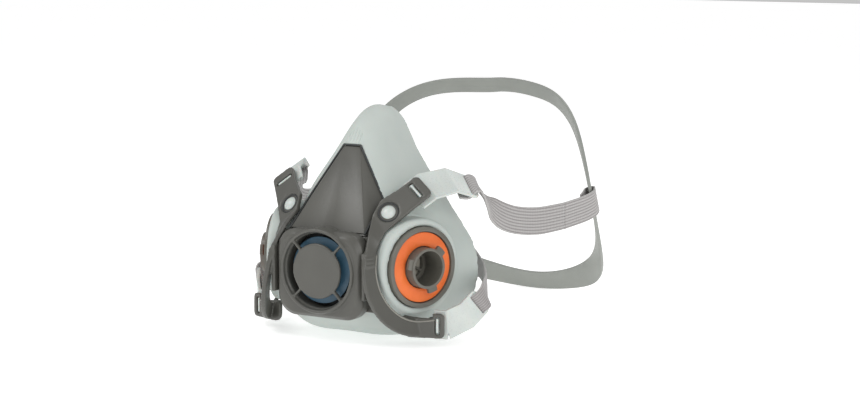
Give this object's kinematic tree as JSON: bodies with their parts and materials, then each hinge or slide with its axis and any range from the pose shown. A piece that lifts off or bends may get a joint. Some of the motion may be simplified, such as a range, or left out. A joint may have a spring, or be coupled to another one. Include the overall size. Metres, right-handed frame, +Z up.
{
  "type": "half-mask respirator",
  "caption": "Reusable half-mask respirator with an elastomer facepiece, side bayonet filter ports, a front exhalation valve and an adjustable head harness.",
  "frame": {"origin": "middle of the footprint on the surface it stands on", "axes": "+X across the face, -Y forwards out of the front of the mask, +Z up"},
  "size_m": [0.1602, 0.2563, 0.1354],
  "materials": {
    "seal_elastomer": "soft satin moulded elastomer, light grey",
    "yoke_plastic": "satin dark warm grey moulding",
    "port_plastic": "satin grey-brown moulding",
    "gasket_rubber": "orange silicone gasket",
    "diaphragm_silicone": "dark petrol blue silicone",
    "flap_silicone": "thin pale silicone",
    "buckle_plastic": "pale grey glossy moulding",
    "cradle_plastic": "smooth light grey band",
    "elastic_webbing": "ribbed woven elastic, light grey"
  },
  "bodies": {
    "facepiece": {"face_seal": "seal_elastomer", "nose_plate": "yoke_plastic", "harness_yoke": "yoke_plastic", "exhalation_valve_seat": "yoke_plastic", "left_port_housing": "port_plastic", "left_port_gasket": "gasket_rubber", "left_inhalation_valve_seat": "port_plastic", "left_yoke_stud": "buckle_plastic", "right_port_housing": "port_plastic", "right_port_gasket": "gasket_rubber", "right_inhalation_valve_seat": "port_plastic", "right_yoke_stud": "buckle_plastic"},
    "cover": {"valve_cover": "yoke_plastic"},
    "exhalation_valve": {"exhalation_diaphragm": "diaphragm_silicone"},
    "left_inhalation_valve": {"left_inhalation_flap": "flap_silicone"},
    "right_inhalation_valve": {"right_inhalation_flap": "flap_silicone"},
    "upper_buckles": {"left_upper_buckle": "buckle_plastic", "right_upper_buckle": "buckle_plastic"},
    "crown_straps": {"left_crown_elastic": "elastic_webbing", "right_crown_elastic": "elastic_webbing"},
    "cradle": {"crown_cradle": "cradle_plastic"},
    "lower_buckles": {"left_lower_buckle": "buckle_plastic", "right_lower_buckle": "buckle_plastic"},
    "neck_straps": {"left_neck_strap": "elastic_webbing", "right_neck_strap": "elastic_webbing", "neck_clip_eye": "buckle_plastic", "neck_clip_hook": "buckle_plastic"}
  },
  "joints": [
    {"name": "cover_release", "type": "slide", "parent": "facepiece", "child": "cover", "axis": [0, -0.999, -0.0448], "range_m": [0, 0.03]},
    {"name": "exhalation_valve_lift", "type": "slide", "parent": "facepiece", "child": "exhalation_valve", "axis": [0, -0.999, -0.0448], "range_m": [0, 0.0015], "stiffness_N_per_m": 20},
    {"name": "left_inhalation_valve_lift", "type": "slide", "parent": "facepiece", "child": "left_inhalation_valve", "axis": [0.933, 0.3596, 0.0161], "range_m": [0, 0.0015], "stiffness_N_per_m": 20},
    {"name": "right_inhalation_valve_lift", "type": "slide", "parent": "facepiece", "child": "right_inhalation_valve", "axis": [-0.933, 0.3596, 0.0161], "range_m": [0, 0.0015], "stiffness_N_per_m": 20},
    {"name": "upper_buckle_tilt", "type": "hinge", "parent": "facepiece", "child": "upper_buckles", "pos_m": [0, -0.09498, 0.08157], "axis": [1, 0, 0], "range_deg": [-5, 6]},
    {"name": "crown_strap_swing", "type": "hinge", "parent": "upper_buckles", "child": "crown_straps", "pos_m": [0, -0.0639, 0.08267], "axis": [1, 0, 0], "range_deg": [-35, 70]},
    {"name": "cradle_tilt", "type": "hinge", "parent": "crown_straps", "child": "cradle", "pos_m": [0, 0.04985, 0.06688], "axis": [1, 0, 0], "range_deg": [-25, 25]},
    {"name": "lower_buckle_tilt", "type": "hinge", "parent": "facepiece", "child": "lower_buckles", "pos_m": [0, -0.09585, 0.01167], "axis": [1, 0, 0], "range_deg": [-5, 5]},
    {"name": "neck_strap_swing", "type": "hinge", "parent": "lower_buckles", "child": "neck_straps", "pos_m": [0, -0.07702, 0.02252], "axis": [1, 0, 0], "range_deg": [-50, 5]}
  ]
}
